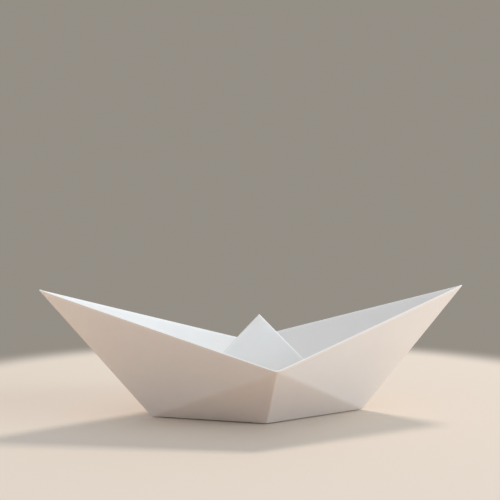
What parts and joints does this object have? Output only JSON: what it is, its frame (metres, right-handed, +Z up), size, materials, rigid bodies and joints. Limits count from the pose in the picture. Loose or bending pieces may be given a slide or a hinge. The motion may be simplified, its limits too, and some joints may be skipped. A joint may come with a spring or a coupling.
{
  "type": "paper boat",
  "caption": "Folded paper boat with two raised pointed ends, flat creased hull panels and a slim hollow triangular sail amidships, standing on a pressed diamond foot.",
  "frame": {"origin": "centre of the diamond foot, on the surface that the boat stands on", "axes": "+X along the length from tip to tip, +Y across the beam, +Z up; the -Y side faces the picture's camera"},
  "size_m": [0.184, 0.086, 0.0545],
  "materials": {
    "white_paper": "uncoated matte white paper"
  },
  "bodies": {
    "root": {"paper_boat": "white_paper"}
  },
  "joints": []
}
